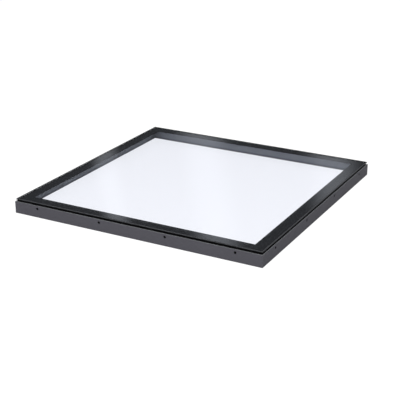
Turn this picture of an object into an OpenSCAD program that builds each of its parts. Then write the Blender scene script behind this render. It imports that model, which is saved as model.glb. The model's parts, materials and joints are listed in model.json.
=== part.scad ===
// Flat-glass cover of a roof skylight.
// Four mitred aluminium rails make a skirt that drops over the roof kerb.
// One glass pane with a black enamel border is bonded on top of them.
// Millimetres, +Z up. The origin is the middle of the skirt's bottom rim.

/* [Frame] */
// Outer width of the frame, along X
frame_w = 1000; // [600:1:1600]
// Outer depth of the frame, along Y
frame_d = 1000; // [600:1:1600]
// Height of the rails, from the bottom rim to the flange's top
skirt_h = 45.5; // [40:0.5:80]
// Width of the hairline left at each mitre
mitre_gap = 0.15; // [0.05:0.05:0.5]

/* [Rail section] */
// Thickness of the rail's outer wall
outer_wall = 1.8; // [1.4:0.1:2.6]
// Clear width of the chamber between the two walls
chamber_w = 3.4; // [2.6:0.1:6]
// Thickness of the rail's inner wall
inner_wall = 1.4; // [1.2:0.1:2.4]
// Thickness of the web that closes the chamber at the bottom
bottom_web = 2.4; // [2.2:0.1:4]
// Thickness of the flange that carries the glass
flange_t = 2; // [1.6:0.1:4]
// How far the flange runs on past the spacer tape
flange_spare = 2; // [1:0.5:10]
// Radius of the rail's two outer edges
edge_round = 1; // [0.3:0.1:1.2]
// Radius of the root between inner wall and flange
root_round = 1; // [0.4:0.1:1.2]
// Bevel on the inner bottom edge that guides the skirt over the kerb
lead_in = 2; // [0.5:0.1:2.4]

/* [Fixing holes] */
// Number of fixing holes in each rail
fixing_count = 4; // [2:1:8]
// Distance from a frame corner to the nearest fixing hole
fixing_end = 100; // [80:1:200]
// Distance from the flange's underside, where the kerb ends, down to the fixing holes
fixing_drop = 9.4; // [8:0.1:16]
// Diameter of the bore that a fixing screw passes through
fixing_bore = 5; // [4:0.1:6]
// Outer diameter of the spacer bush
bush_od = 9.5; // [7.4:0.1:12]
// Play all round between the bush and its hole in the outer wall
bush_fit = 0.05; // [0.02:0.01:0.2]
// How far the bush's end stays below the rail's outer face
bush_sink = 0.3; // [0.1:0.05:0.8]
// Depth of the bevel at the mouth of the bush
bush_mouth = 0.5; // [0.2:0.1:0.8]

/* [Corner cleats] */
// Length of each leg of a corner cleat
cleat_leg = 60; // [50:1:70]
// Play all round between the cleat and the chamber
cleat_fit = 0.1; // [0.05:0.05:0.3]
// Length of the taper that lets a leg into its chamber
cleat_lead = 4; // [2:0.5:6]
// How much that taper takes off each face of the leg
cleat_taper = 0.6; // [0.2:0.1:0.8]
// Diameter of the set screws that lock the cleats
screw_d = 5; // [4:0.5:6]
// Play all round between a set screw and its hole in the cleat
screw_fit = 0.05; // [0.02:0.01:0.2]
// Play all round between a set screw and its hole in the inner wall
access_fit = 0.3; // [0.1:0.05:0.6]
// Distance from the end of a leg to its first set screw
screw_edge = 12; // [8:0.5:16]
// Distance between the two set screws of a leg
screw_pitch = 24; // [16:0.5:28]
// Distance from the flange's underside down to the set screws
screw_drop = 6.5; // [5:0.1:12]
// How far a set screw stays below the inner wall's face
screw_sink = 0.3; // [0.1:0.1:0.8]
// Width across the flats of the set screw's hexagon socket
socket_w = 2.5; // [2:0.5:3]
// Depth of the hexagon socket
socket_depth = 2; // [1.5:0.1:2.6]

/* [Glass] */
// Thickness of the glass pane
pane_t = 6; // [4:1:10]
// How far the pane's edge lies inside the rail's outer face
pane_inset = 3; // [1:0.5:10]
// Length cut off the pane's sharp corners
pane_dub = 1.5; // [0.5:0.5:2.5]
// Thickness of the fired enamel on the pane's underside
enamel_t = 0.15; // [0.05:0.05:0.3]
// Width of the enamel border
enamel_w = 44.5; // [32:0.5:80]
// Bare strip between the pane's rounded edge and the enamel
enamel_margin = 2; // [1:0.5:5]

/* [Bond] */
// Height of the gap between flange and glass
bond_h = 5; // [3:0.5:10]
// Width of the sealant bead
bead_w = 11.5; // [8:0.5:20]
// How far the bead starts behind the pane's rounded edge
bead_back = 0.5; // [0:0.1:3]
// Depth of the hollow that tooling leaves in the bead's outer face
bead_hollow = 1; // [0.3:0.1:1.4]
// Width of the spacer tape behind the bead
tape_w = 8; // [5:0.5:15]

/* [Kerb seal] */
// Width of the seal's flat base
seal_w = 10; // [8:0.5:12]
// Height of the seal below the flange
seal_h = 4; // [3:0.1:4.8]
// Wall of the hollow seal
seal_wall = 1.2; // [0.8:0.1:1.3]
// Distance from the inner wall to the seal
seal_gap = 1.4; // [1.2:0.1:3]

/* [Hidden] */

$fn = 48;
// How far a cutting shape runs past the face that it cuts
cut = 1;

// The sides in turn, anticlockwise seen from above
SIDES = ["front", "right", "back", "left"];

wall_t = outer_wall + chamber_w + inner_wall;
chamber_in = outer_wall + chamber_w;
flange_under = skirt_h - flange_t;
fixing_z = flange_under - fixing_drop;
chamber_h = flange_under - bottom_web;
glass_under = skirt_h + bond_h;

pane_round = pane_t / 2;
pane_flat = pane_inset + pane_round;
enamel_start = pane_flat + enamel_margin;
bead_start = pane_flat + bead_back;
tape_start = bead_start + bead_w;
flange_reach = tape_start + tape_w + flange_spare;
seal_start = wall_t + seal_gap;

cleat_t = chamber_w - 2 * cleat_fit;
cleat_h = chamber_h - 2 * cleat_fit;
cleat_start = outer_wall + cleat_fit;
screw_z = flange_under - screw_drop;
screw_len = chamber_w + inner_wall - screw_sink;
// Places of a leg's set screws, measured from the frame's corner
screw_places = [for (k = [0, 1]) cleat_start + cleat_leg - screw_edge - k * screw_pitch];

function quarter_turns(side) = search([side], SIDES)[0];
function lies_along_x(side) = side == "front" || side == "back";
function side_length(side) = lies_along_x(side) ? frame_w : frame_d;
function side_reach(side) = (lies_along_x(side) ? frame_d : frame_w) / 2;
function fixing_pitch(side) = (side_length(side) - 2 * fixing_end) / (fixing_count - 1);
function fixing_places(side) =
    [for (k = [0:fixing_count - 1]) k * fixing_pitch(side) + fixing_end - side_length(side) / 2];

// Moves a shape from a side's own frame to its place on the frame.
// There X runs along the side, Y runs inwards from the outer face, and Z is up.
module on_side(side) {
    rotate([0, 0, 90 * quarter_turns(side)])
        translate([0, -side_reach(side), 0])
            children();
}

// Moves a shape from the corner at the start of a side, where X runs along that side, to its place
module on_corner(side) {
    on_side(side)
        translate([-side_length(side) / 2, 0, 0])
            children();
}

// Extrudes a section drawn as inwards and upwards along a side, centred on it
module along_side(length) {
    rotate([90, 0, 90])
        linear_extrude(length, center = true)
            children();
}

// Straight round rod that points inwards from the plane at depth start
module rod_inwards(diameter, start, length) {
    translate([0, start, 0])
        rotate([-90, 0, 0])
            cylinder(h = length, d = diameter);
}

// Block that mitres both ends of a length, with its long face on the outer face of the side
module mitre_block(length, depth, height) {
    back_off = mitre_gap / sqrt(2);
    half = length / 2 - back_off;
    linear_extrude(height)
        polygon([[-half - cut, -cut], [half + cut, -cut], [half - depth, depth], [-half + depth, depth]]);
}

// Flat ring between two insets from the frame's outer face
module ring(start, width, height) {
    linear_extrude(height)
        difference() {
            square([frame_w - 2 * start, frame_d - 2 * start], center = true);
            square([frame_w - 2 * (start + width), frame_d - 2 * (start + width)], center = true);
        }
}

// What is left of a square corner outside its rounding
module spandrel(radius) {
    difference() {
        square(radius);
        translate([radius, radius])
            circle(radius);
    }
}

// What a rounding takes off an outer corner at the origin
module corner_cut(radius) {
    difference() {
        translate([-cut, -cut])
            square(radius + cut);
        translate([radius, radius])
            circle(radius);
    }
}

module rail_section() {
    difference() {
        union() {
            square([wall_t, skirt_h]);
            translate([0, flange_under])
                square([flange_reach, flange_t]);
            translate([wall_t, flange_under])
                mirror([0, 1])
                    spandrel(root_round);
        }
        translate([outer_wall, bottom_web])
            square([chamber_w, chamber_h]);
        corner_cut(edge_round);
        translate([0, skirt_h])
            mirror([0, 1])
                corner_cut(edge_round);
        polygon([[wall_t - lead_in - cut, -cut], [wall_t + cut, -cut], [wall_t + cut, lead_in + cut]]);
    }
}

module rail(side) {
    length = side_length(side);
    color("#56565b")
        on_side(side)
            difference() {
                intersection() {
                    along_side(length)
                        rail_section();
                    mitre_block(length, flange_reach + cut, skirt_h + cut);
                }
                for (x = fixing_places(side))
                    translate([x, 0, fixing_z]) {
                        rod_inwards(bush_od + 2 * bush_fit, -cut, outer_wall + 2 * cut);
                        rod_inwards(fixing_bore, chamber_in - cut, inner_wall + 2 * cut);
                    }
                for (end = [-1, 1], place = screw_places)
                    translate([end * (length / 2 - place), 0, screw_z])
                        rod_inwards(screw_d + 2 * access_fit, chamber_in - cut, inner_wall + 2 * cut);
            }
}

// Outline of a cleat: two legs from the corner at the origin, each with a tapered end
module cleat_outline() {
    shoulder = cleat_leg - cleat_lead;
    along_x = [
        [shoulder, 0], [cleat_leg, cleat_taper],
        [cleat_leg, cleat_t - cleat_taper], [shoulder, cleat_t]
    ];
    along_y = [for (k = [len(along_x) - 1:-1:0]) [along_x[k].y, along_x[k].x]];
    polygon(concat([[0, 0]], along_x, [[cleat_t, cleat_t]], along_y));
}

// The cleat in the corner at the start of a side
module cleat(side) {
    color("#a9abad")
        on_corner(side)
            difference() {
                translate([cleat_start, cleat_start, bottom_web + cleat_fit])
                    linear_extrude(cleat_h)
                        cleat_outline();
                for (place = screw_places) {
                    translate([place, 0, screw_z])
                        rod_inwards(screw_d + 2 * screw_fit, 0, chamber_in + cut);
                    translate([0, place, screw_z])
                        rotate([0, 0, -90])
                            rod_inwards(screw_d + 2 * screw_fit, 0, chamber_in + cut);
                }
            }
}

// One set screw that bears on the inside of the outer wall, with its socket facing inwards
module set_screw() {
    difference() {
        rod_inwards(screw_d, outer_wall, screw_len);
        translate([0, outer_wall + screw_len - socket_depth, 0])
            rotate([-90, 0, 0])
                cylinder(h = socket_depth + cut, d = socket_w / cos(30), $fn = 6);
    }
}

module cleat_set_screws() {
    color("#3b3b3d")
        for (side = SIDES)
            on_side(side)
                for (end = [-1, 1], place = screw_places)
                    translate([end * (side_length(side) / 2 - place), 0, screw_z])
                        set_screw();
}

// One spacer bush, seated on the inside of the inner wall
module bush() {
    difference() {
        rod_inwards(bush_od, bush_sink, chamber_in - bush_sink);
        rod_inwards(fixing_bore, 0, chamber_in + cut);
        translate([0, bush_sink, 0])
            rotate([-90, 0, 0])
                cylinder(h = bush_mouth, d1 = fixing_bore + 2 * bush_mouth, d2 = fixing_bore);
    }
}

module fixing_bushes() {
    color("#141415")
        for (side = SIDES)
            on_side(side)
                for (x = fixing_places(side))
                    translate([x, 0, fixing_z])
                        bush();
}

// Section across the pane: a bar with half-round ends
module pane_section(width) {
    square([width - 2 * pane_round, pane_t], center = true);
    for (end = [-1, 1])
        translate([end * (width / 2 - pane_round), 0])
            circle(pane_round);
}

module glass_pane() {
    pane_w = frame_w - 2 * pane_inset;
    pane_d = frame_d - 2 * pane_inset;
    x = pane_w / 2;
    y = pane_d / 2;
    color("#cfe3ea", 0.35)
        translate([0, 0, glass_under + pane_round])
            intersection() {
                along_side(pane_w + 2 * cut)
                    pane_section(pane_d);
                rotate([0, 0, 90])
                    along_side(pane_d + 2 * cut)
                        pane_section(pane_w);
                linear_extrude(pane_t + 2 * cut, center = true)
                    difference() {
                        square([pane_w + 2 * cut, pane_d + 2 * cut], center = true);
                        for (sx = [-1, 1], sy = [-1, 1])
                            translate([sx * x, sy * y])
                                rotate([0, 0, 45])
                                    square(pane_dub * sqrt(2), center = true);
                    }
            }
}

module enamel_border() {
    color("#17181a")
        translate([0, 0, glass_under - enamel_t])
            ring(enamel_start, enamel_w, enamel_t);
}

module bond_seal() {
    hollow_r = (pow(bond_h / 2, 2) + pow(bead_hollow, 2)) / (2 * bead_hollow);
    color("#101011")
        difference() {
            translate([0, 0, skirt_h])
                ring(bead_start, bead_w, bond_h);
            translate([0, 0, glass_under - enamel_t])
                ring(enamel_start, enamel_w, enamel_t + cut);
            for (side = SIDES)
                on_side(side)
                    translate([0, bead_start + bead_hollow - hollow_r, skirt_h + bond_h / 2])
                        rotate([0, 90, 0])
                            cylinder(h = side_length(side), r = hollow_r, center = true);
        }
}

// The front and back tapes run through at the corners, and the side tapes butt against them
module tape(side) {
    butted = lies_along_x(side) ? 0 : tape_w;
    length = side_length(side) - 2 * (tape_start + butted);
    color("#1d1d1f")
        on_side(side)
            translate([-length / 2, tape_start, skirt_h])
                cube([length, tape_w, bond_h - enamel_t]);
}

// Section of the hollow seal, hanging from its flat base at the origin
module seal_section() {
    outer_r = (pow(seal_w / 2, 2) + pow(seal_h, 2)) / (2 * seal_h);
    difference() {
        intersection() {
            translate([0, outer_r - seal_h])
                circle(outer_r);
            translate([-seal_w / 2, -seal_h])
                square([seal_w, seal_h]);
        }
        intersection() {
            translate([0, outer_r - seal_h])
                circle(outer_r - seal_wall);
            translate([-seal_w / 2, -seal_h])
                square([seal_w, seal_h - seal_wall]);
        }
    }
}

module kerb_seal(side) {
    length = side_length(side);
    color("#1a1a1b")
        on_side(side)
            intersection() {
                translate([0, seal_start + seal_w / 2, flange_under])
                    along_side(length)
                        seal_section();
                mitre_block(length, flange_reach + cut, skirt_h);
            }
}

glass_pane();
enamel_border();
rail("front");  // front_rail
rail("right");  // right_rail
rail("back");  // back_rail
rail("left");  // left_rail
cleat("front");  // front_left_cleat
cleat("right");  // front_right_cleat
cleat("back");  // back_right_cleat
cleat("left");  // back_left_cleat
cleat_set_screws();
fixing_bushes();
bond_seal();
tape("front");  // front_tape
tape("right");  // right_tape
tape("back");  // back_tape
tape("left");  // left_tape
kerb_seal("front");  // front_kerb_seal
kerb_seal("right");  // right_kerb_seal
kerb_seal("back");  // back_kerb_seal
kerb_seal("left");  // left_kerb_seal
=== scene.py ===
"""Dress a flat-glass roof skylight in its finishes and stand it in a plain studio.

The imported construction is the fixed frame. Its rails, cleats, screws, bushes and kerb seals stay as they
are and get their finishes here. The pane, its enamel border, the sealant bead and the spacer tapes are
made again with the detail that glass and soft goods need, each in the place of the node it stands for.
Lengths are in metres and +Z is up.
"""

import json
import logging
import math
from dataclasses import dataclass
from enum import Enum

import bmesh
import bpy
from bmesh.types import BMesh, BMFace, BMVert
from bpy.types import Material, Mesh, NodeOutputs, NodeSocket, NodeTree, Object
from mathutils import Matrix, Vector


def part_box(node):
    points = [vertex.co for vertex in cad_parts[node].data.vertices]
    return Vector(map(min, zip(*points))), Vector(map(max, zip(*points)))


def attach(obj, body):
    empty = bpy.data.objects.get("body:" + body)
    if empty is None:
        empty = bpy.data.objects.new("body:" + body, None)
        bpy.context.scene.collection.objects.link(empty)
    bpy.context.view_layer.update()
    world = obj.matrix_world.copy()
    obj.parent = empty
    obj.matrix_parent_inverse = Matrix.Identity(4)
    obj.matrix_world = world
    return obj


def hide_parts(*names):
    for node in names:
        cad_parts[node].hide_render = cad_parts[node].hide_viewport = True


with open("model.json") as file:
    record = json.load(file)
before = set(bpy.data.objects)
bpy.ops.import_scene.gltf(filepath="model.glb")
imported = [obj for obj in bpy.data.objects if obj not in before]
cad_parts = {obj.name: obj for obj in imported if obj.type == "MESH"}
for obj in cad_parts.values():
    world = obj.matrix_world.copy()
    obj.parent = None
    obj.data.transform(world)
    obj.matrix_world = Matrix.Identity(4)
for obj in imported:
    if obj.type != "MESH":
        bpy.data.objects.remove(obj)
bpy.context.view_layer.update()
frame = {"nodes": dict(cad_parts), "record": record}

LOG = logging.getLogger("skylight")
MM = 0.001
BODY = "root"

# Points of a new mesh that lie closer than this become one
WELD = 0.0005 * MM

# Places of the colour sockets on Blender's mix node, which names several sockets alike
MIX_A = 6
MIX_B = 7
MIX_RESULT = 2

# Places of the finishes after a piece's first one, on the pane and on the border
GROUND_EDGE = 1
SEALANT_SHADE_EDGE = 2
BARE_FACE = 1

# A ray whose count of mirrors is above this has met a mirror
NO_MIRROR = 0.5

# A hand's stroke is a long wave with a shorter, weaker one on it, which starts at its own angle
SHORT_STROKE = 0.31
SHORT_SHARE = 0.35
SHORT_START = 1.3


class Slot(Enum):
    """The record's material slots that new pieces take their finish from."""

    CLEAR_GLASS = "clear_glass"
    BLACK_ENAMEL = "black_enamel"
    BLACK_NYLON = "black_nylon"
    BLACK_SILICONE = "black_silicone"
    FOAM_TAPE = "foam_tape"


class Side(Enum):
    """The four sides of the frame, as quarter turns anticlockwise from the front, seen from above."""

    FRONT = 0
    RIGHT = 1
    BACK = 2
    LEFT = 3

    @property
    def along_x(self) -> bool:
        """True for the two sides that lie along X."""
        return self in (Side.FRONT, Side.BACK)

    @property
    def turn(self) -> Matrix:
        """The turn that brings a shape from the front side to this one."""
        return Matrix.Rotation(self.value * math.pi / 2, 4, "Z")

    def node(self, kind: str) -> str:
        """The name of this side's node of one kind, such as front_rail."""
        return f"{self.name.lower()}_{kind}"


# Small tools for nodes, colours and meshes


def add_node(
    tree: NodeTree, kind: str, inputs: dict[str | int, object] | None = None, **settings: object
) -> NodeOutputs:
    """Add one node to a tree with its settings, input values and links.

    Args:
        tree: The node tree that gets the node.
        kind: Blender's name for the kind of node.
        inputs: Names or places of inputs, each with a plain value or the socket that feeds it.
        settings: The node's own options by name.

    Returns:
        The new node's outputs.
    """
    node = tree.nodes.new(kind)
    for name, value in settings.items():
        setattr(node, name, value)
    for name, value in (inputs or {}).items():
        if isinstance(value, NodeSocket):
            tree.links.new(value, node.inputs[name])
        else:
            node.inputs[name].default_value = value
    return node.outputs


def linear(colour: str) -> tuple[float, float, float, float]:
    """Turn an sRGB hex colour into the linear RGBA that shaders take.

    Args:
        colour: Six hex digits after a hash sign.

    Returns:
        Linear red, green and blue, and an alpha of 1.
    """
    shares = [int(colour[k : k + 2], 16) / 255 for k in (1, 3, 5)]
    red, green, blue = (s / 12.92 if s <= 0.04045 else ((s + 0.055) / 1.055) ** 2.4 for s in shares)
    return red, green, blue, 1.0


def inner_half(node: str) -> float:
    """Half the clear width inside a ring-shaped node, measured on its own mesh."""
    return min(max(abs(v.co.x), abs(v.co.y)) for v in frame["nodes"][node].data.vertices)


def ring_points(
    half_w: float, half_d: float, height: float, corner: float, steps: int, bays: int
) -> list[Vector]:
    """Walk once round a rectangle with cut or rounded corners, anticlockwise from the front left.

    Rings with the same steps and bays have equally many points, so they can be skinned.

    Args:
        half_w: Half the width along X.
        half_d: Half the depth along Y.
        height: Height of the whole ring.
        corner: Length that a corner takes off each side, 0 for a sharp one.
        steps: Straight steps in a corner: 1 cuts it off, more round it.
        bays: Equal stretches that each straight side is divided into.

    Returns:
        The ring's points in order.
    """
    points = []
    for side in Side:
        along, reach = (half_w, half_d) if side.along_x else (half_d, half_w)
        straight = along - corner
        run = [Vector((straight * (2 * k / bays - 1), -reach, height)) for k in range(bays + 1)]
        for k in range(1, steps):
            angle = math.pi / 2 * (k / steps - 1)
            x = straight + corner * math.cos(angle)
            y = corner - reach + corner * math.sin(angle)
            run.append(Vector((x, y, height)))
        points += [side.turn @ point for point in run]
    return points


def skin(build: BMesh, rings: list[list[Vector]], closed: bool) -> list[BMFace]:
    """Join rings of equally many points with four-sided faces.

    Args:
        build: The mesh that gets the faces.
        rings: The rings in order.
        closed: True where the last ring meets the first again.

    Returns:
        The new faces.
    """
    loops = [[build.verts.new(point) for point in ring] for ring in rings]
    pairs = list(zip(loops, loops[1:]))
    if closed:
        pairs.append((loops[-1], loops[0]))
    faces = []
    for lower, upper in pairs:
        for k in range(len(lower)):
            far = (k + 1) % len(lower)
            faces.append(build.faces.new((lower[k], lower[far], upper[far], upper[k])))
    return faces


def add_object(name: str, build: BMesh, materials: list[Material]) -> Object:
    """Turn a finished build into an object of the scene.

    Args:
        name: The object's name.
        build: Its mesh, which is freed.
        materials: Its finishes, in the order of the faces' material numbers.

    Returns:
        The new object.
    """
    mesh = bpy.data.meshes.new(name)
    build.to_mesh(mesh)
    build.free()
    for material in materials:
        mesh.materials.append(material)
    made = bpy.data.objects.new(name, mesh)
    bpy.context.scene.collection.objects.link(made)
    return made


def add_sheet(name: str, middle: Vector, across: Vector, up: Vector, material: Material) -> Object:
    """Add one flat sheet with four corners to the scene.

    Args:
        name: The sheet's name.
        middle: The middle of it.
        across: The way from its middle to its right side, as seen from its face.
        up: The way from its middle to its upper side.
        material: Its finish.

    Returns:
        The new sheet.
    """
    corners = [middle - across - up, middle + across - up, middle + across + up, middle - across + up]
    build = bmesh.new()
    build.faces.new([build.verts.new(corner) for corner in corners])
    return add_object(name, build, [material])


def make_piece(
    name: str,
    build: BMesh,
    materials: list[Material],
    stands_for: str | None,
    crease_deg: float,
) -> Object:
    """Turn a finished build into a piece of the object.

    Args:
        name: The piece's name.
        build: Its mesh, which is freed.
        materials: Its finishes, in the order of the faces' material numbers.
        stands_for: The node whose place it takes, if it takes one.
        crease_deg: Edges that turn by more than this stay sharp.

    Returns:
        The new piece, riding on the body.
    """
    bmesh.ops.remove_doubles(build, verts=build.verts, dist=WELD)
    bmesh.ops.dissolve_degenerate(build, edges=build.edges, dist=WELD)
    bmesh.ops.recalc_face_normals(build, faces=build.faces)
    piece = add_object(name, build, materials)
    piece.data.shade_smooth()
    piece.data.set_sharp_from_angle(angle=math.radians(crease_deg))
    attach(piece, BODY)
    if stands_for:
        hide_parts(stands_for)
    LOG.info("%s: %d faces, stands for %s", name, len(piece.data.polygons), stands_for)
    return piece


def dress_node(node: str, material: Material) -> None:
    """Give a carried-over node its finish."""
    frame["nodes"][node].material_slots[0].material = material
    LOG.info("%s: dressed in %s", node, material.name)


def hand_wave(place: float, swing: float, stroke: float) -> float:
    """How far a hand-made edge wanders at one place along it.

    Args:
        place: Distance along the edge.
        swing: The most that it wanders to either side.
        stroke: Length of one stroke of the hand.

    Returns:
        The wander, from minus swing to plus swing.
    """
    long_wave = math.sin(2 * math.pi * place / stroke)
    short_wave = math.sin(2 * math.pi * place / (stroke * SHORT_STROKE) + SHORT_START)
    return swing * ((1 - SHORT_SHARE) * long_wave + SHORT_SHARE * short_wave)


# Finishes


@dataclass(frozen=True)
class Finish:
    """A finish that one node material gives to a surface."""

    name: str

    def material(self) -> Material:
        """Make the material.

        Returns:
            A new material of the finish's name, with its nodes.
        """
        material = bpy.data.materials.new(self.name)
        material.use_nodes = True
        tree = material.node_tree
        tree.nodes.clear()
        add_node(tree, "ShaderNodeOutputMaterial", {"Surface": self.surface(tree)})
        return material

    def surface(self, tree: NodeTree) -> NodeSocket:
        """Add the finish's own nodes to a tree and return the socket of its surface."""
        raise NotImplementedError(self.name)


@dataclass(frozen=True)
class PowderCoat(Finish):
    """Polyester powder with a fine texture, sprayed on aluminium and stoved.

    The eye gets an even dark grey with a soft sheen, a dull fine grain and hardly any mirror. Inside the
    skirt the colour is painted paler, a blue grey, as painted light on the inner faces, and less so towards
    their foot, as painted shade there. The skirt's top is painted paler as well, as a painted highlight.
    """

    name: str = "powder_coated_aluminium_fine_texture"
    deep: str = "#4c4b50"
    pale: str = "#545359"
    gloss_rough: float = 0.55
    dull_rough: float = 0.67
    ior: float = 1.5
    # The texture breaks up the mirror, so less of it is left than on a smooth coat
    sheen: float = 0.05
    # The real grain is about 0.4 mm across and 0.03 mm high, drawn five times as coarse so that it shows
    grain: float = 2.0 * MM
    grain_height: float = 0.15 * MM
    grain_strength: float = 0.5
    # The grain is darkest where its noise is below this, and palest as near to the noise's other end
    grain_tips: float = 0.35
    # How much of the colour follows the clouds, with the grain at the same weight
    cloud_share: float = 0.5
    cloud: float = 120 * MM
    # Painted light: the paler colour that the inner faces take, as if they were lit more brightly
    lit_inside_deep: str = "#828485"
    lit_inside_pale: str = "#8a8c8d"
    # Distance from the middle at which the painted light begins, between the skirt's two faces
    inside: float = 494 * MM
    inside_blend: float = 0.5 * MM
    # Heights between which the painted shade at the foot of the inner faces ends, and how much of the painted
    # light it takes away
    foot_shade_full: float = 8.5 * MM
    foot_shade_end: float = 11 * MM
    foot_shade_share: float = 0.45
    # Height at which the painted highlight along the skirt's top edge begins, and how strong it is
    arris: float = 44.5 * MM
    arris_blend: float = 1 * MM
    arris_highlight_share: float = 0.62

    def surface(self, tree: NodeTree) -> NodeSocket:
        """Add faint clouds and grain in colour, clouds in sheen, a bump of grain, and painted light.

        Args:
            tree: The material's node tree.

        Returns:
            The socket of the surface.
        """
        place = add_node(tree, "ShaderNodeTexCoord")["Object"]
        clouds = add_node(
            tree, "ShaderNodeTexNoise", {"Vector": place, "Scale": 1 / self.cloud, "Detail": 4.0}
        )["Fac"]
        grain = add_node(
            tree, "ShaderNodeTexNoise", {"Vector": place, "Scale": 1 / self.grain, "Detail": 2.0}
        )["Fac"]
        specks = add_node(
            tree,
            "ShaderNodeMapRange",
            {"Value": grain, "From Min": self.grain_tips, "From Max": 1 - self.grain_tips},
        )["Result"]
        shade = add_node(tree, "ShaderNodeMath", {0: clouds, 1: specks}, operation="ADD")[0]
        shade = add_node(tree, "ShaderNodeMath", {0: shade, 1: self.cloud_share}, operation="MULTIPLY")[0]
        powder = add_node(
            tree,
            "ShaderNodeMix",
            {0: shade, MIX_A: linear(self.deep), MIX_B: linear(self.pale)},
            data_type="RGBA",
        )[MIX_RESULT]
        # Painted light: the paler colour of the inner faces
        painted_light_colour = add_node(
            tree,
            "ShaderNodeMix",
            {0: clouds, MIX_A: linear(self.lit_inside_deep), MIX_B: linear(self.lit_inside_pale)},
            data_type="RGBA",
        )[MIX_RESULT]
        # Share of painted light, where the colour is made paler
        paler_part = self._painted_light_share(tree, place)
        colour = add_node(
            tree, "ShaderNodeMix", {0: paler_part, MIX_A: powder, MIX_B: painted_light_colour}, data_type="RGBA"
        )[MIX_RESULT]
        rough = add_node(
            tree,
            "ShaderNodeMapRange",
            {"Value": clouds, "To Min": self.gloss_rough, "To Max": self.dull_rough},
        )["Result"]
        bump = add_node(
            tree,
            "ShaderNodeBump",
            {"Height": grain, "Strength": self.grain_strength, "Distance": self.grain_height},
        )["Normal"]
        return add_node(
            tree,
            "ShaderNodeBsdfPrincipled",
            {
                "Base Color": colour,
                "Roughness": rough,
                "Normal": bump,
                "IOR": self.ior,
                "Specular IOR Level": self.sheen,
            }
        )[0]

    def _painted_light_share(self, tree: NodeTree, place: NodeSocket) -> NodeSocket:
        """Add nodes that say where light is painted: inside, less towards the foot, and at the skirt's top.

        Args:
            tree: The material's node tree.
            place: The socket of the point's own place on the object.

        Returns:
            The socket of the painted light's share.
        """
        reach = add_node(tree, "ShaderNodeVectorMath", {0: place}, operation="ABSOLUTE")["Vector"]
        reach = add_node(tree, "ShaderNodeSeparateXYZ", {"Vector": reach})
        outward = add_node(tree, "ShaderNodeMath", {0: reach["X"], 1: reach["Y"]}, operation="MAXIMUM")[0]
        inside = add_node(
            tree,
            "ShaderNodeMapRange",
            {
                "Value": outward,
                "From Min": self.inside,
                "From Max": self.inside + self.inside_blend,
                "To Min": 1.0,
                "To Max": 0.0,
            },
        )["Result"]
        # Painted shade: the painted light fades towards the foot of the inner faces
        above_foot_shade = add_node(
            tree,
            "ShaderNodeMapRange",
            {
                "Value": reach["Z"],
                "From Min": self.foot_shade_full,
                "From Max": self.foot_shade_end,
                "To Min": 1 - self.foot_shade_share,
            },
        )["Result"]
        inside = add_node(tree, "ShaderNodeMath", {0: inside, 1: above_foot_shade}, operation="MULTIPLY")[0]
        # Painted highlight along the skirt's top edge
        painted_highlight = add_node(
            tree,
            "ShaderNodeMapRange",
            {
                "Value": reach["Z"],
                "From Min": self.arris,
                "From Max": self.arris + self.arris_blend,
                "To Max": self.arris_highlight_share,
            },
        )["Result"]
        return add_node(tree, "ShaderNodeMath", {0: inside, 1: painted_highlight}, operation="MAXIMUM")[0]


@dataclass(frozen=True)
class FloatGlass(Finish):
    """Float glass, toughened after cutting, with an anti-reflection coat on both faces.

    The eye gets a clear pane with a cool cast and only a faint mirror, so that what shines in the black
    border hardly shows on the clear part. Lamps shine through it without the bright patterns of a lens,
    as they do through a flat pane.
    """

    name: str = "toughened_float_glass_anti_reflection_coated"
    cast: str = "#f6f8ff"
    # Bare glass has 1.52, and the coats leave it the faint mirror that this lower value gives
    ior: float = 1.15

    def surface(self, tree: NodeTree) -> NodeSocket:
        """Add smooth glass that lets light from lamps pass straight.

        Args:
            tree: The material's node tree.

        Returns:
            The socket of the surface.
        """
        glass = add_node(
            tree,
            "ShaderNodeBsdfPrincipled",
            {
                "Base Color": linear(self.cast),
                "Roughness": 0.0,
                "IOR": self.ior,
                "Transmission Weight": 1.0,
            },
        )
        straight = add_node(tree, "ShaderNodeBsdfTransparent", {"Color": linear(self.cast)})
        path = add_node(tree, "ShaderNodeLightPath")
        return add_node(
            tree, "ShaderNodeMixShader", {"Fac": path["Is Shadow Ray"], 1: glass[0], 2: straight[0]}
        )[0]


class Pattern(Enum):
    """Fine patterns that a finish can follow: the kind of node that draws each, and its output."""

    CLOUDS = ("ShaderNodeTexNoise", "Fac")
    CELLS = ("ShaderNodeTexVoronoi", "Distance")


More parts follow.
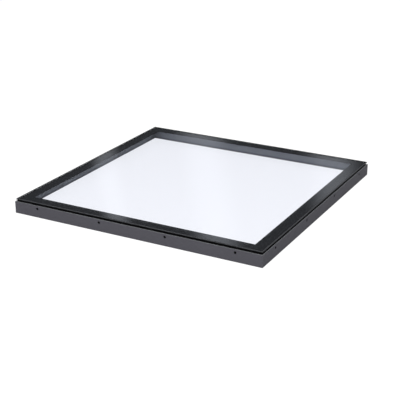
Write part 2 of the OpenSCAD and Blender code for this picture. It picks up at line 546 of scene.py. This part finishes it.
@dataclass(frozen=True)
class Mottled(Finish):
    """A finish with one fine pattern in its colour, and in its gloss and height where those change."""

    deep: str
    pale: str
    # Roughness, which runs up to the dull value with the pattern where there is one
    rough: float
    # Size of the pattern, how long it runs along Z where it is drawn out, and how many finer ones lie over it
    size: float
    run: float | None = None
    detail: float = 0.0
    pattern: Pattern = Pattern.CLOUDS
    dull_rough: float | None = None
    metallic: float = 0.0
    ior: float = 1.5
    sheen: float = 0.5
    # Height of the bump, and how strongly it shows, 0 on a smooth face
    relief: float = 0.0
    relief_strength: float = 0.0

    def surface(self, tree: NodeTree) -> NodeSocket:
        """Add the pattern, and the colour, gloss and bump that follow it.

        Args:
            tree: The material's node tree.

        Returns:
            The socket of the surface.
        """
        place = add_node(tree, "ShaderNodeTexCoord")["Object"]
        if self.run is not None:
            squeeze = (1.0, 1.0, self.size / self.run)
            place = add_node(tree, "ShaderNodeMapping", {"Vector": place, "Scale": squeeze})["Vector"]
        kind, output = self.pattern.value
        share = add_node(
            tree, kind, {"Vector": place, "Scale": 1 / self.size, "Detail": self.detail}
        )[output]
        colour = add_node(
            tree,
            "ShaderNodeMix",
            {0: share, MIX_A: linear(self.deep), MIX_B: linear(self.pale)},
            data_type="RGBA",
        )[MIX_RESULT]
        look: dict[str | int, object] = {
            "Base Color": colour,
            "Metallic": self.metallic,
            "Roughness": self.rough,
            "IOR": self.ior,
            "Specular IOR Level": self.sheen,
        }
        if self.dull_rough is not None:
            look["Roughness"] = add_node(
                tree,
                "ShaderNodeMapRange",
                {"Value": share, "To Min": self.rough, "To Max": self.dull_rough},
            )["Result"]
        if self.relief > 0:
            height = self.height(tree, place, share)
            look["Normal"] = add_node(
                tree,
                "ShaderNodeBump",
                {"Height": height, "Strength": self.relief_strength, "Distance": self.relief},
            )["Normal"]
        return add_node(tree, "ShaderNodeBsdfPrincipled", look)[0]

    def height(self, tree: NodeTree, place: NodeSocket, share: NodeSocket) -> NodeSocket:
        """The socket that the bump follows: the pattern's, unless a finish adds a relief of its own."""
        return share


@dataclass(frozen=True)
class GroundGlass(Mottled):
    """The same glass where a diamond wheel ground its edge to a half round.

    The eye gets a dull dark grey: the scratches scatter a little light, and behind them the black print
    and sealant show through the glass.
    """

    name: str = "toughened_float_glass_ground_edge"
    deep: str = "#3d3e41"
    pale: str = "#464749"
    rough: float = 0.45
    # Wheel marks are about 0.1 mm apart, drawn as patches of 3 mm so that they show
    size: float = 3 * MM
    detail: float = 3.0
    ior: float = 1.52
    sheen: float = 0.15
    relief: float = 0.03 * MM
    relief_strength: float = 0.3


@dataclass(frozen=True)
class FiredEnamel(Mottled):
    """Black ceramic enamel, screen-printed on the glass and fired into it.

    The eye gets a deep black, a little uneven where the print is thinner. Through the glass it is as
    smooth as the pane and adds its own dark gloss, and its bare face underneath is matt.
    """

    name: str = "fired_ceramic_enamel_at_glass"
    deep: str = "#0a0b0c"
    pale: str = "#111213"
    rough: float = 0.04
    # Print weight drifts over a hand's width
    size: float = 70 * MM
    detail: float = 5.0
    # The black is metal oxides, which stay glossy against glass because their IOR is far above the glass's
    ior: float = 2.9


@dataclass(frozen=True)
class TooledSilicone(Mottled):
    """Neutral-cure silicone, gunned into the joint and drawn off with a wet tool.

    The eye gets a soft black with a rubbery sheen and faint ripples where the tool chattered.
    """

    name: str = "silicone_sealant_tooled_black"
    deep: str = "#070708"
    pale: str = "#0d0d0e"
    rough: float = 0.34
    dull_rough: float = 0.5
    # Ripples follow each other about every 6 mm
    size: float = 6 * MM
    detail: float = 2.0
    ior: float = 1.41
    sheen: float = 0.03
    relief: float = 0.08 * MM
    relief_strength: float = 0.5


@dataclass(frozen=True)
class CellFoam(Mottled):
    """Closed-cell foam tape, slit from a roll.

    The eye gets a dull charcoal face that is pitted all over by the cells that the knife opened.
    """

    name: str = "closed_cell_foam_slit_black"
    deep: str = "#121213"
    pale: str = "#242426"
    rough: float = 0.9
    # Cells of 0.3 mm, drawn three times as large so that they show
    size: float = 0.9 * MM
    pattern: Pattern = Pattern.CELLS
    sheen: float = 0.2
    relief: float = 0.2 * MM
    relief_strength: float = 0.6


@dataclass(frozen=True)
class MouldedNylon(Mottled):
    """Glass-filled nylon, injection-moulded.

    The eye gets a dull black with a slightly mottled skin where fibres lie near the surface.
    """

    name: str = "glass_filled_nylon_moulded_black"
    deep: str = "#060606"
    pale: str = "#0b0b0c"
    rough: float = 0.42
    dull_rough: float = 0.6
    # Fibres are about 0.3 mm long, drawn as patches four times as large so that they show
    size: float = 1.2 * MM
    detail: float = 3.0
    ior: float = 1.53
    # Fibres roughen the face, so hardly any mirror is left
    sheen: float = 0.005


@dataclass(frozen=True)
class SealRubber(Mottled):
    """Synthetic rubber seal, extruded and cured.

    The eye gets a matt black with fine lines along its length, left by the die, and a dusting of bloom.
    """

    name: str = "synthetic_rubber_extruded_black"
    deep: str = "#161617"
    pale: str = "#232325"
    rough: float = 0.55
    dull_rough: float = 0.75
    # Patches of bloom
    size: float = 30 * MM
    detail: float = 4.0
    # Die lines of 0.15 mm, drawn at 0.6 mm so that they show
    die_line: float = 0.6 * MM
    relief: float = 0.04 * MM
    relief_strength: float = 0.5

    def height(self, tree: NodeTree, place: NodeSocket, share: NodeSocket) -> NodeSocket:
        """Add lines of even height along the seal.

        Args:
            tree: The material's node tree.
            place: The socket of the point's own place on the object.
            share: The socket of the bloom, not used here, since the bloom has no height.

        Returns:
            The socket of the lines.
        """
        level = add_node(tree, "ShaderNodeSeparateXYZ", {"Vector": place})["Z"]
        return add_node(
            tree,
            "ShaderNodeTexNoise",
            {"W": level, "Scale": 1 / self.die_line, "Detail": 1.0},
            noise_dimensions="1D",
        )["Fac"]


@dataclass(frozen=True)
class DrawnMetal(Mottled):
    """Bare or blackened metal with the fine upright lines that a die or a tool leaves.

    The eye gets a metal's own colour in its mirror, streaked along the lines.
    """

    # Lines of 0.1 mm, drawn at 0.5 mm so that they show
    size: float = 0.5 * MM
    run: float = 20 * MM
    detail: float = 3.0
    metallic: float = 1.0


ENAMEL_BARE = FiredEnamel(name="fired_ceramic_enamel_bare_face", rough=0.55, ior=1.6)
# A thin film of black sealant on the lower part of the pane's edge, whose black is also painted shade there.
# It keeps hardly any sheen, because the ground glass under it breaks its surface
SEALANT_SHADE_FILM = TooledSilicone(name="silicone_sealant_wiped_thin_black", sheen=0.02)
MILL_ALUMINIUM = DrawnMetal(
    name="aluminium_extruded_mill_finish", deep="#9d9fa1", pale="#b5b7b9", rough=0.3, dull_rough=0.45
)
BLACK_OXIDE_STEEL = DrawnMetal(
    name="steel_black_oxide_turned", deep="#2d2d2f", pale="#474749", rough=0.35, dull_rough=0.5
)


# Sub-assemblies


@dataclass
class GlazedPane:
    """The toughened pane with its half-round ground edge, and the enamel border fired on its underside."""

    # Length cut off the pane's sharp corners, and how fast the cut closes towards the square faces
    dub: float = 1.5 * MM
    dub_fade: float = 2.0
    edge_steps: int = 12
    # The share of the edge's height, from below, that the black sealant film covers, which is also painted
    # shade
    shade_film_share: float = 0.58
    bays: int = 48
    # Toughening carries the hot pane over rollers, which leave a long, shallow wave
    wave_height: float = 0.02 * MM
    wave_length: float = 290 * MM
    # The print reaches this far into the glass, so that its face and the pane's don't coincide
    fired_in: float = 0.06 * MM
    crease_deg: float = 35.0

    def build(self) -> None:
        """Make the pane and its border."""
        self._build_pane()
        self._build_border()

    def _build_pane(self) -> None:
        """Skin the half-round edge from below to above, and close both faces with grids.

        The edge is ground all round, and a black sealant film covers its lower part, which is also painted
        shade.
        """
        low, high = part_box("glass_pane")
        radius = (high.z - low.z) / 2
        build = bmesh.new()
        rings = []
        for k in range(self.edge_steps + 1):
            angle = math.pi * (k / self.edge_steps - 0.5)
            inset = radius * (1 - math.cos(angle))
            cut = max(self.dub - self.dub_fade * inset, 0.0)
            height = low.z + radius * (1 + math.sin(angle))
            rings.append(ring_points(high.x - inset, high.y - inset, height, cut, 1, self.bays))
        shade_film_to = low.z + self.shade_film_share * (high.z - low.z)
        for face in skin(build, rings, closed=False):
            # Faces below the film take the black sealant, which is also painted shade
            paler_part = face.calc_center_median().z > shade_film_to
            face.material_index = GROUND_EDGE if paler_part else SEALANT_SHADE_EDGE
        for height in (low.z, high.z):
            self._add_face_grid(build, high.x - radius, high.y - radius, height)
        for vertex in build.verts:
            vertex.co.z += self.wave_height * math.sin(2 * math.pi * vertex.co.y / self.wave_length)
        finishes = [FloatGlass().material(), GroundGlass().material(), SEALANT_SHADE_FILM.material()]
        piece = make_piece(
            "float_glass_pane", build, finishes, "glass_pane", self.crease_deg
        )
        self._keep_faces_flat(piece.data)

    def _add_face_grid(self, build: BMesh, half_w: float, half_d: float, height: float) -> None:
        """Close one face of the pane with a grid that meets the edge's own points.

        Args:
            build: The mesh that gets the grid.
            half_w: Half the face's width along X.
            half_d: Half its depth along Y.
            height: Its height.
        """
        shares = [2 * k / self.bays - 1 for k in range(self.bays + 1)]
        rows = [[build.verts.new((x * half_w, y * half_d, height)) for x in shares] for y in shares]
        for near, far in zip(rows, rows[1:]):
            for k in range(self.bays):
                build.faces.new((near[k], near[k + 1], far[k + 1], far[k]))

    def _keep_faces_flat(self, mesh: Mesh) -> None:
        """Sharpen the lines where finishes meet, so that the faces mirror as flat glass does.

        Args:
            mesh: The pane's mesh.
        """
        owners = {}
        for polygon in mesh.polygons:
            for key in polygon.edge_keys:
                owners.setdefault(key, set()).add(polygon.material_index)
        for edge in mesh.edges:
            if len(owners[edge.key]) > 1:
                edge.use_edge_sharp = True

    def _build_border(self) -> None:
        """Make the border as a thin ring that starts just inside the glass."""
        low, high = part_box("enamel_border")
        inner = inner_half("enamel_border")
        top = high.z + self.fired_in
        build = bmesh.new()
        section = [(high.x, low.z), (high.x, top), (inner, top), (inner, low.z)]
        rings = [ring_points(half, half, height, 0.0, 1, self.bays) for half, height in section]
        for face in skin(build, rings, closed=True):
            if min(vertex.co.z for vertex in face.verts) < high.z:
                face.material_index = BARE_FACE
        finishes = [FiredEnamel().material(), ENAMEL_BARE.material()]
        make_piece(
            "fired_enamel_border", build, finishes, "enamel_border", self.crease_deg
        )


@dataclass
class SkirtFrame:
    """The four mitred rails with the cleats, set screws and fixing bushes inside them."""

    corners: tuple[str, ...] = ("front_left", "front_right", "back_right", "back_left")
    # A thin web closes each bush until a screw pierces it, so that no light shows through the bores
    web_t: float = 0.4 * MM
    # How far the web lies inwards of the middle of its bore, and how far it reaches into the bush
    web_depth: float = 1.2 * MM
    web_grip: float = 0.06 * MM
    web_segments: int = 24
    crease_deg: float = 35.0

    def dress(self) -> None:
        """Give each carried-over piece of the skirt its finish."""
        coat = PowderCoat().material()
        mill = MILL_ALUMINIUM.material()
        for side in Side:
            dress_node(side.node("rail"), coat)
        for corner in self.corners:
            dress_node(f"{corner}_cleat", mill)
        dress_node("cleat_set_screws", BLACK_OXIDE_STEEL.material())
        dress_node("fixing_bushes", MouldedNylon().material())

    def build(self) -> None:
        """Make the webs in all the bores that the record lists as fixings, once the bushes are dressed."""
        build = bmesh.new()
        for mount in frame["record"]["mounts"]:
            if mount["kind"] != "bolt_pattern":
                continue
            outward = Vector(mount["axis"])
            along = outward.cross(Vector((0.0, 0.0, 1.0)))
            half_span = along * mount["dims"]["spacing_x_mm"] * MM / 2
            middle = Vector(mount["pos_m"]) - outward * self.web_depth
            turn = outward.to_track_quat("Z", "Y").to_matrix().to_4x4()
            radius = mount["dims"]["hole_r_mm"] * MM + self.web_grip
            for place in (middle - half_span, middle + half_span):
                bmesh.ops.create_cone(
                    build,
                    cap_ends=True,
                    segments=self.web_segments,
                    radius1=radius,
                    radius2=radius,
                    depth=self.web_t,
                    matrix=Matrix.Translation(place) @ turn,
                )
        # Each web is moulded in one with its bush
        nylon = frame["nodes"]["fixing_bushes"].material_slots[0].material
        make_piece("bush_webs", build, [nylon], None, self.crease_deg)


@dataclass
class BondLine:
    """The tooled sealant bead that holds the pane, and the foam tapes that set its height."""

    # Depth of the hollow that tooling leaves in the bead's outer face
    hollow: float = 1.0 * MM
    hollow_steps: int = 14
    # How far the tool feathers the bead's foot out over the flange, and the share of its height it takes
    feather: float = 2.8 * MM
    feather_share: float = 0.45
    # The tool runs round the corners in a small radius
    corner: float = 2.5 * MM
    corner_steps: int = 6
    bays: int = 96
    # The bead reaches this far into its neighbours, so that faces don't coincide
    wetting: float = 0.06 * MM
    # The outer face, this deep, wanders with the hand, and less over the last stretch to each corner
    bead_face: float = 2 * MM
    bead_swing: float = 0.18 * MM
    bead_stroke: float = 230 * MM
    bead_calm: float = 25 * MM
    # A squeezed tape swells this far at its free side
    swell: float = 0.4 * MM
    swell_steps: int = 4
    tape_bays: int = 40
    tape_swing: float = 0.12 * MM
    tape_stroke: float = 170 * MM
    crease_deg: float = 40.0

    def build(self) -> None:
        """Make the bead and the four tapes."""
        self._build_bead()
        foam = CellFoam().material()
        for side in Side:
            self._build_tape(side, foam)

    def _build_bead(self) -> None:
        """Sweep the bead's section round the frame, with its outer face hollowed by the tool."""
        low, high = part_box("bond_seal")
        enamel_low, enamel_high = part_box("enamel_border")
        inner = inner_half("bond_seal")
        foot = low.z - self.wetting
        crown = high.z + self.wetting
        shoulder = enamel_high.x - self.wetting
        under_print = enamel_low.z + self.wetting
        section = []
        for k in range(self.hollow_steps + 1):
            share = k / self.hollow_steps
            depth = self.hollow * (1 - (2 * share - 1) ** 2)
            spread = self.feather * max(1 - share / self.feather_share, 0.0) ** 2
            section.append((high.x - depth + spread, foot + share * (crown - foot)))
        section += [(shoulder, crown), (shoulder, under_print), (inner, under_print), (inner, foot)]
        build = bmesh.new()
        rings = []
        for half, height in section:
            corner = max(self.corner + half - high.x, 0.0)
            rings.append(ring_points(half, half, height, corner, self.corner_steps, self.bays))
        skin(build, rings, closed=True)
        for vertex in build.verts:
            self._wander(vertex, high.x)
        finishes = [TooledSilicone().material()]
        make_piece("silicone_bead", build, finishes, "bond_seal", self.crease_deg)

    def _wander(self, vertex: BMVert, half: float) -> None:
        """Let one point of the bead's outer face wander inwards along its side, less towards corners.

        Args:
            vertex: A point of the bead, which stays as it is away from the outer face.
            half: Half the bead's outer width.
        """
        across, along = sorted((abs(vertex.co.x), abs(vertex.co.y)), reverse=True)
        if across < half - self.bead_face:
            return
        on_x = abs(vertex.co.x) >= abs(vertex.co.y)
        place = vertex.co.y if on_x else vertex.co.x
        fade = min(1.0, (half - along) / self.bead_calm)
        shift = fade * hand_wave(place, self.bead_swing, self.bead_stroke)
        if on_x:
            vertex.co.x -= math.copysign(abs(shift), vertex.co.x)
        else:
            vertex.co.y -= math.copysign(abs(shift), vertex.co.y)

    def _build_tape(self, side: Side, foam: Material) -> None:
        """Make one side's tape: a slit strip whose free side swells under the pane's weight.

        Args:
            side: The side that it lies on.
            foam: Its finish.
        """
        node = side.node("tape")
        low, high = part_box(node)
        back = side.turn.inverted()
        corners = [back @ low, back @ high]
        start, end = sorted(point.x for point in corners)
        outer, inner = sorted(point.y for point in corners)
        rings = []
        for k in range(self.tape_bays + 1):
            x = start + (end - start) * k / self.tape_bays
            crown = self.swell + hand_wave(x, self.tape_swing, self.tape_stroke)
            ring = [Vector((x, outer, low.z)), Vector((x, inner, low.z))]
            for step in range(1, self.swell_steps):
                share = step / self.swell_steps
                swollen = inner + crown * (1 - (2 * share - 1) ** 2)
                ring.append(Vector((x, swollen, low.z + share * (high.z - low.z))))
            ring += [Vector((x, inner, high.z)), Vector((x, outer, high.z))]
            rings.append([side.turn @ point for point in ring])
        build = bmesh.new()
        skin(build, rings, closed=False)
        for ring in (rings[0], rings[-1]):
            build.faces.new([build.verts.new(point) for point in ring])
        make_piece(side.node("foam_tape"), build, [foam], node, self.crease_deg)


@dataclass
class KerbSeals:
    """The hollow rubber seals under the flange, which close on the roof kerb."""

    def dress(self) -> None:
        """Give the four seals their finish."""
        rubber = SealRubber().material()
        for side in Side:
            dress_node(side.node("kerb_seal"), rubber)


# Studio


@dataclass(frozen=True)
class Viewpoint:
    """The camera, as found from the photograph's vanishing lines, for a square image."""

    lens_mm: float = 90.57
    sensor_mm: float = 36.0
    azimuth_deg: float = 28.346
    elevation_deg: float = 21.6
    distance: float = 3.818
    target: tuple[float, float, float] = (0.0366, -0.0681, 0.0005)

    @property
    def elevation(self) -> float:
        """How far the camera looks down, in radians."""
        return math.radians(self.elevation_deg)

    @property
    def back(self) -> Vector:
        """The way from the target back to the camera."""
        level = -self.sight(0.0) * self.distance * math.cos(self.elevation)
        return level + Vector((0.0, 0.0, self.distance * math.sin(self.elevation)))

    @property
    def eye(self) -> Vector:
        """The camera's place."""
        return Vector(self.target) + self.back

    def sight(self, bearing_deg: float) -> Vector:
        """The level direction away from the camera, turned to the right by a bearing."""
        angle = math.radians(self.azimuth_deg - bearing_deg)
        return Vector((-math.sin(angle), math.cos(angle), 0.0))

    def build(self) -> None:
        """Place the camera at the photograph's own angle and distance."""
        data = bpy.data.cameras.new("camera")
        data.lens = self.lens_mm
        data.sensor_width = self.sensor_mm
        camera = bpy.data.objects.new("camera", data)
        camera.location = self.eye
        camera.rotation_euler = (-self.back).to_track_quat("-Z", "Y").to_euler()
        bpy.context.scene.collection.objects.link(camera)
        bpy.context.scene.camera = camera


@dataclass(frozen=True)
class FloorPaint(Finish):
    """White paint on the studio's floor.

    To the eye, in mirrors and through glass it is an even white that keeps the object's shadow, and to
    other light it is plain paint.
    """

    name: str = "studio_floor_white_paint"
    # How white it is to the eye, and through the pane, whose cast takes some of that away
    shown: float = 0.94
    shown_through: float = 1.0
    # How much light from lamps is added, which is what a shadow takes away, to the eye and through the pane
    shaded: float = 0.16
    shaded_through: float = 0.06
    paint: str = "#e7e7e7"

    def surface(self, tree: NodeTree) -> NodeSocket:
        """Add white for rays that the eye sees, paint for the others, and nothing from below.

        Args:
            tree: The material's node tree.

        Returns:
            The socket of the surface.
        """
        path = add_node(tree, "ShaderNodeLightPath")
        seen = add_node(
            tree, "ShaderNodeMath", {0: path["Is Camera Ray"], 1: path["Is Glossy Ray"]}, operation="ADD"
        )[0]
        seen = add_node(
            tree,
            "ShaderNodeMath",
            {0: seen, 1: path["Is Transmission Ray"]},
            operation="ADD",
            use_clamp=True,
        )[0]
        strength = add_node(
            tree,
            "ShaderNodeMapRange",
            {"Value": path["Is Transmission Ray"], "To Min": self.shown, "To Max": self.shown_through},
        )["Result"]
        glow = add_node(tree, "ShaderNodeEmission", {"Strength": strength})
        shade = add_node(
            tree,
            "ShaderNodeMapRange",
            {"Value": path["Is Transmission Ray"], "To Min": self.shaded, "To Max": self.shaded_through},
        )["Result"]
        shadow = add_node(tree, "ShaderNodeBsdfDiffuse", {"Color": shade})
        shown = add_node(tree, "ShaderNodeAddShader", {0: glow[0], 1: shadow[0]})
        paint = add_node(tree, "ShaderNodeBsdfDiffuse", {"Color": linear(self.paint)})
        either = add_node(tree, "ShaderNodeMixShader", {"Fac": seen, 1: paint[0], 2: shown[0]})
        # From below the floor is left out, so that the underside can be looked at
        below = add_node(tree, "ShaderNodeNewGeometry")["Backfacing"]
        clear = add_node(tree, "ShaderNodeBsdfTransparent")
        return add_node(tree, "ShaderNodeMixShader", {"Fac": below, 1: either[0], 2: clear[0]})[0]


@dataclass(frozen=True)
class CardGlow(Finish):
    """Soft light on a strip card, brightest along its middle, that shows only in mirrors."""

    half_w: float
    strength: float
    colour: str

    def surface(self, tree: NodeTree) -> NodeSocket:
        """Add a glow that fades towards both long edges.

        Args:
            tree: The material's node tree.

        Returns:
            The socket of the surface.
        """
        place = add_node(tree, "ShaderNodeTexCoord")["Object"]
        across = add_node(tree, "ShaderNodeSeparateXYZ", {"Vector": place})["X"]
        off = add_node(tree, "ShaderNodeMath", {0: across}, operation="ABSOLUTE")[0]
        strength = add_node(
            tree,
            "ShaderNodeMapRange",
            {"Value": off, "From Max": self.half_w, "To Min": self.strength, "To Max": 0.0},
            interpolation_type="SMOOTHERSTEP",
        )["Result"]
        path = add_node(tree, "ShaderNodeLightPath")
        mirrored = add_node(
            tree, "ShaderNodeMath", {0: path["Glossy Depth"], 1: NO_MIRROR}, operation="GREATER_THAN"
        )[0]
        strength = add_node(tree, "ShaderNodeMath", {0: strength, 1: mirrored}, operation="MULTIPLY")[0]
        glow = add_node(tree, "ShaderNodeEmission", {"Color": linear(self.colour), "Strength": strength})
        clear = add_node(tree, "ShaderNodeBsdfTransparent")
        return add_node(tree, "ShaderNodeAddShader", {0: glow[0], 1: clear[0]})[0]


@dataclass(frozen=True)
class StripCard:
    """One tall strip of soft light behind the object, which the pane mirrors to the camera."""

    name: str
    # Degrees to the right of the line of sight, seen from the camera
    bearing_deg: float
    width: float
    height: float = 4.0
    # How much further it stands from the camera than the camera's target
    beyond: float = 6.0
    lean_deg: float = 8.0
    strength: float = 0.35
    colour: str = "#f6faff"

    def build(self, viewpoint: Viewpoint) -> None:
        """Stand the card where the middle of the view reaches it once it is mirrored.

        Args:
            viewpoint: The camera that sees it in the mirror.
        """
        across = Vector((self.width / 2, 0.0, 0.0))
        up = Vector((0.0, 0.0, self.height / 2))
        glow = CardGlow(f"{self.name}_soft_light", self.width / 2, self.strength, self.colour).material()
        strip = add_sheet(self.name, Vector(), across, up, glow)
        eye = viewpoint.eye
        reach = self.beyond + viewpoint.distance
        middle = eye + viewpoint.sight(self.bearing_deg) * reach
        middle.z = reach * math.tan(viewpoint.elevation) - eye.z
        lean = Matrix.Rotation(math.radians(self.lean_deg), 4, "Y")
        turn = Matrix.Rotation(math.radians(viewpoint.azimuth_deg - self.bearing_deg), 4, "Z")
        strip.matrix_world = Matrix.Translation(middle) @ turn @ lean
        strip.visible_camera = False
        strip.visible_diffuse = False
        strip.visible_shadow = False


@dataclass(frozen=True)
class SoftBox:
    """One square soft lamp that points at the middle of the floor, and that no gloss or glass shows."""

    name: str
    place: tuple[float, float, float]
    size: float
    energy: float

    def build(self) -> None:
        """Hang the lamp."""
        lamp = bpy.data.lights.new(self.name, "AREA")
        lamp.shape = "SQUARE"
        lamp.size = self.size
        lamp.energy = self.energy
        hung = bpy.data.objects.new(self.name, lamp)
        hung.location = self.place
        hung.rotation_euler = (-Vector(self.place)).to_track_quat("-Z", "Y").to_euler()
        hung.visible_glossy = False
        hung.visible_transmission = False
        bpy.context.scene.collection.objects.link(hung)


@dataclass(frozen=True)
class Dome:
    """Light from all round, by height alone: white at the horizon, a dim belt, soft light overhead.

    To the eye it is a plain white backdrop, also straight through the pane, as from below.
    """

    horizon_light: float = 1.0
    # The pane mirrors this belt
    belt_light: float = 0.085
    overhead_light: float = 0.08
    # Heights, 1 at the top: the horizon's light dims to the belt's between the first two of them, and
    # the light overhead comes up between the last two
    horizon_end: float = 0.17
    belt_start: float = 0.27
    belt_end: float = 0.46
    overhead_start: float = 0.66
    colour: str = "#f6faff"
    backdrop_light: float = 1.0
    backdrop_colour: str = "#ffffff"

    def build(self) -> None:
        """Make the world that gives the light."""
        world = bpy.data.worlds.new("studio_dome")
        bpy.context.scene.world = world
        world.use_nodes = True
        tree = world.node_tree
        tree.nodes.clear()
        direction = add_node(tree, "ShaderNodeTexCoord")["Generated"]
        height = add_node(tree, "ShaderNodeSeparateXYZ", {"Vector": direction})["Z"]
        low_part = add_node(
            tree,
            "ShaderNodeMapRange",
            {
                "Value": height,
                "From Min": self.horizon_end,
                "From Max": self.belt_start,
                "To Min": self.horizon_light,
                "To Max": self.belt_light,
            },
            interpolation_type="SMOOTHSTEP",
        )["Result"]
        high_part = add_node(
            tree,
            "ShaderNodeMapRange",
            {
                "Value": height,
                "From Min": self.belt_end,
                "From Max": self.overhead_start,
                "To Min": 0.0,
                "To Max": self.overhead_light,
            },
            interpolation_type="SMOOTHSTEP",
        )["Result"]
        strength = add_node(tree, "ShaderNodeMath", {0: low_part, 1: high_part}, operation="ADD")[0]
        path = add_node(tree, "ShaderNodeLightPath")
        straight = add_node(
            tree, "ShaderNodeMath", {0: path["Glossy Depth"], 1: NO_MIRROR}, operation="LESS_THAN"
        )[0]
        through = add_node(
            tree, "ShaderNodeMath", {0: path["Is Transmission Ray"], 1: straight}, operation="MULTIPLY"
        )[0]
        seen = add_node(
            tree, "ShaderNodeMath", {0: path["Is Camera Ray"], 1: through}, operation="MAXIMUM"
        )[0]
        strength = add_node(
            tree, "ShaderNodeMapRange", {"Value": seen, "To Min": strength, "To Max": self.backdrop_light}
        )["Result"]
        colour = add_node(
            tree,
            "ShaderNodeMix",
            {0: seen, MIX_A: linear(self.colour), MIX_B: linear(self.backdrop_colour)},
            data_type="RGBA",
        )[MIX_RESULT]
        light = add_node(tree, "ShaderNodeBackground", {"Color": colour, "Strength": strength})
        add_node(tree, "ShaderNodeOutputWorld", {"Surface": light[0]})


@dataclass(frozen=True)
class Studio:
    """A white floor, a dome of soft light, soft boxes, three strip cards and the camera."""

    viewpoint: Viewpoint = Viewpoint()
    dome: Dome = Dome()
    floor_half: float = 60.0
    # The floor lies this far below the skirt's rim, so that their faces don't coincide
    floor_drop: float = 0.2 * MM
    boxes: tuple[SoftBox, ...] = (
        SoftBox("overhead_box", (0.0, 0.0, 4.0), 4.0, 130.0),
        SoftBox("front_box", (0.6, -5.0, 1.6), 2.5, 126.0),
        SoftBox("right_box", (10.0, -1.2, 3.2), 5.0, 132.0),
        SoftBox("back_box", (0.8, 5.0, 1.6), 2.5, 20.0),
        SoftBox("left_box", (-5.0, 0.6, 1.6), 2.5, 20.0),
    )
    cards: tuple[StripCard, ...] = (
        StripCard("strip_card_1", -5.4, 0.42),
        StripCard("strip_card_2", 0.6, 0.74),
        StripCard("strip_card_3", 8.2, 0.76),
    )

    def build(self) -> None:
        """Set up the stage, the light and the camera."""
        bpy.context.scene.view_settings.view_transform = "Standard"
        self._build_floor()
        self.dome.build()
        for box in self.boxes:
            box.build()
        for card in self.cards:
            card.build(self.viewpoint)
        self.viewpoint.build()

    def _build_floor(self) -> None:
        """Lay the floor under the object."""
        middle = Vector((0.0, 0.0, -self.floor_drop))
        across = Vector((self.floor_half, 0.0, 0.0))
        up = Vector((0.0, self.floor_half, 0.0))
        floor = add_sheet("studio_floor", middle, across, up, FloorPaint().material())


def main() -> None:
    """Build the studio, then the skylight from the skirt up to its glass."""
    logging.basicConfig(level=logging.INFO, format="%(name)s: %(message)s")
    Studio().build()
    skirt = SkirtFrame()
    skirt.dress()
    skirt.build()
    KerbSeals().dress()
    BondLine().build()
    GlazedPane().build()


if __name__ == "__main__":
    main()
